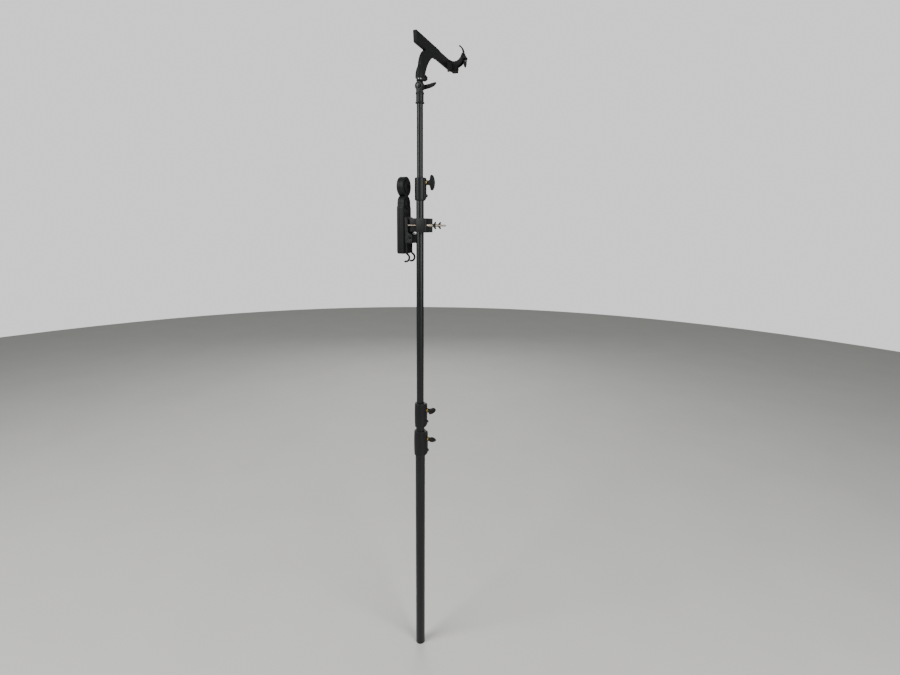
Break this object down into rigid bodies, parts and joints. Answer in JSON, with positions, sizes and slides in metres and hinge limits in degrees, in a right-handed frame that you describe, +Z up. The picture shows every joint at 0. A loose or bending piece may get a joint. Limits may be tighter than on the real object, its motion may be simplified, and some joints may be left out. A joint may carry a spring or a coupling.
{
  "type": "telescopic roller support pole",
  "caption": "Tall telescopic pole with locking collars and T-knobs, a swivelling head with a latched roller cradle, and a clamped hanger unit with hooks.",
  "frame": {"origin": "centre of the pole's foot, on the floor", "axes": "+Z up the pole, +X towards the locking knobs, +Y along the bracket's arm"},
  "size_m": [0.153, 0.314, 2.2508],
  "materials": {
    "powder_black": "satin",
    "moulded_black": "matte",
    "case_black": "matte",
    "nylon": "matte",
    "brass": "satin",
    "zinc": "satin",
    "chrome": "polished",
    "rubber": "matte",
    "bronzed_steel": "satin",
    "black_oxide": "satin"
  },
  "bodies": {
    "base": {"base_tube": "powder_black", "foot_cap": "rubber", "lower_collar": "powder_black", "lower_insert": "brass", "lower_bushing": "nylon", "lower_pinch_bolt": "black_oxide"},
    "lower_knob": {"lower_t_knob": "moulded_black", "lower_knob_screw": "zinc", "lower_brake_pad": "nylon"},
    "first_stage": {"first_riser": "powder_black", "first_riser_guide": "nylon", "middle_collar": "powder_black", "middle_insert": "brass", "middle_bushing": "nylon", "middle_pinch_bolt": "black_oxide"},
    "middle_knob": {"middle_t_knob": "moulded_black", "middle_knob_screw": "zinc", "middle_brake_pad": "nylon"},
    "second_stage": {"second_riser": "powder_black", "second_riser_guide": "nylon", "upper_collar": "powder_black", "upper_insert": "brass", "upper_bushing": "nylon", "upper_pinch_bolt": "black_oxide"},
    "upper_knob": {"upper_t_knob": "moulded_black", "upper_knob_screw": "zinc", "upper_brake_pad": "nylon"},
    "third_stage": {"third_riser": "powder_black", "third_riser_guide": "nylon", "top_spigot": "zinc"},
    "head_base": {"swivel_socket": "powder_black", "friction_washer": "nylon", "pivot_bolt": "black_oxide"},
    "head_screw": {"socket_screw": "black_oxide"},
    "head_top": {"swivel_head": "powder_black", "head_stud": "chrome"},
    "lever": {"pivot_lever": "moulded_black"},
    "bracket": {"bracket_right_shell": "moulded_black", "bracket_left_shell": "moulded_black", "stud_socket": "zinc", "roller_arm": "powder_black", "bracket_fasteners": "bronzed_steel", "cradle": "moulded_black", "cradle_pad": "rubber", "latch_pin": "zinc"},
    "bracket_clamp": {"bracket_knob": "moulded_black"},
    "roller_latch": {"latch": "moulded_black"},
    "hanger": {"clamp_block": "powder_black", "clamp_rods": "zinc", "hanger_back_shell": "case_black", "hanger_front_shell": "case_black"},
    "jaw": {"outer_jaw": "powder_black", "rod_sleeves": "zinc"},
    "front_nut": {"front_wing_nut": "black_oxide"},
    "rear_nut": {"rear_wing_nut": "black_oxide"},
    "low_disc": {"lower_disc": "moulded_black"},
    "high_disc": {"upper_disc": "moulded_black"},
    "hook_front": {"front_hook": "powder_black"},
    "hook_rear": {"rear_hook": "powder_black"}
  },
  "joints": [
    {"name": "lower_slide", "type": "slide", "parent": "base", "child": "first_stage", "axis": [0, 0, 1], "range_m": [-0.012, 0.65]},
    {"name": "lower_knob_turn", "type": "hinge", "parent": "base", "child": "lower_knob", "pos_m": [0.045, 0, 0.893], "axis": [1, 0, 0], "range_deg": [0, 360]},
    {"name": "middle_slide", "type": "slide", "parent": "first_stage", "child": "second_stage", "axis": [0, 0, 1], "range_m": [-0.34, 0.03]},
    {"name": "middle_knob_turn", "type": "hinge", "parent": "first_stage", "child": "middle_knob", "pos_m": [0.043, 0, 1.003], "axis": [1, 0, 0], "range_deg": [0, 360]},
    {"name": "upper_slide", "type": "slide", "parent": "second_stage", "child": "third_stage", "axis": [0, 0, 1], "range_m": [-0.21, 0.55]},
    {"name": "upper_knob_turn", "type": "hinge", "parent": "second_stage", "child": "upper_knob", "pos_m": [0.038, 0, 1.779], "axis": [1, 0, 0], "range_deg": [0, 360]},
    {"name": "head_turn", "type": "hinge", "parent": "third_stage", "child": "head_base", "pos_m": [0, 0, 2.02], "axis": [0, 0, 1], "range_deg": [-180, 180]},
    {"name": "socket_screw_turn", "type": "hinge", "parent": "head_base", "child": "head_screw", "pos_m": [0.01, 0, 2.029], "axis": [1, 0, 0], "range_deg": [0, 360]},
    {"name": "head_tilt", "type": "hinge", "parent": "head_base", "child": "head_top", "pos_m": [0, 0, 2.063], "axis": [0, 1, 0], "range_deg": [-90, 30]},
    {"name": "lever_turn", "type": "hinge", "parent": "head_base", "child": "lever", "pos_m": [0, 0.015, 2.063], "axis": [0, 1, 0], "range_deg": [-20, 45]},
    {"name": "bracket_turn", "type": "hinge", "parent": "head_top", "child": "bracket", "pos_m": [0, 0, 2.09], "axis": [0, 0, 1], "range_deg": [-180, 180]},
    {"name": "bracket_knob_turn", "type": "hinge", "parent": "bracket", "child": "bracket_clamp", "pos_m": [0, 0.038, 2.095], "axis": [0, 1, 0], "range_deg": [0, 360]},
    {"name": "latch_swing", "type": "hinge", "parent": "bracket", "child": "roller_latch", "pos_m": [0.0575, 0.258, 2.211], "axis": [0, 1, 0], "range_deg": [0, 35]},
    {"name": "clamp_slide", "type": "slide", "parent": "second_stage", "child": "hanger", "axis": [0, 0, 1], "range_m": [-0.2, 0.05]},
    {"name": "outer_jaw_slide", "type": "slide", "parent": "hanger", "child": "jaw", "axis": [1, 0, 0], "range_m": [0, 0.015]},
    {"name": "front_nut_turn", "type": "hinge", "parent": "jaw", "child": "front_nut", "pos_m": [0.06, -0.021, 1.646], "axis": [1, 0, 0], "range_deg": [0, 360]},
    {"name": "rear_nut_turn", "type": "hinge", "parent": "jaw", "child": "rear_nut", "pos_m": [0.06, 0.021, 1.646], "axis": [1, 0, 0], "range_deg": [0, 360]},
    {"name": "lower_disc_spin", "type": "hinge", "parent": "hanger", "child": "low_disc", "pos_m": [-0.046, 0, 1.715], "axis": [1, 0, 0], "continuous": true},
    {"name": "upper_disc_spin", "type": "hinge", "parent": "hanger", "child": "high_disc", "pos_m": [-0.046, 0, 1.768], "axis": [1, 0, 0], "continuous": true},
    {"name": "front_hook_turn", "type": "hinge", "parent": "hanger", "child": "hook_front", "pos_m": [-0.041, -0.021, 1.6], "axis": [0, 0, 1], "range_deg": [-90, 90]},
    {"name": "rear_hook_turn", "type": "hinge", "parent": "hanger", "child": "hook_rear", "pos_m": [-0.041, 0.021, 1.6], "axis": [0, 0, 1], "range_deg": [-90, 90]}
  ]
}
